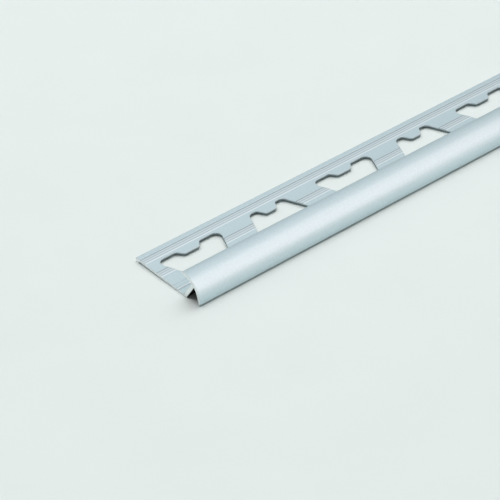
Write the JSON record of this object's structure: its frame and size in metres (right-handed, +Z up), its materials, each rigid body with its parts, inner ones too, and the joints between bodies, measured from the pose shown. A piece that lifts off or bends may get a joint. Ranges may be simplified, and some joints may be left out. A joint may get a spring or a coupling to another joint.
{
  "type": "tile edge trim",
  "caption": "Long quarter-round tile edge trim, one aluminium extrusion: a rounded front face on a leaning web, and a thin fixing leg punched with alternating trapezoid holes.",
  "frame": {"origin": "on the floor plane, in the middle of the length and of the width", "axes": "+X along the length, +Y from the rounded face towards the rear edge of the leg, +Z up from the bed"},
  "size_m": [2.5, 0.0356, 0.0104],
  "materials": {
    "anodised_aluminium": "satin silver anodised"
  },
  "bodies": {
    "root": {"edge_trim": "anodised_aluminium"}
  },
  "joints": []
}
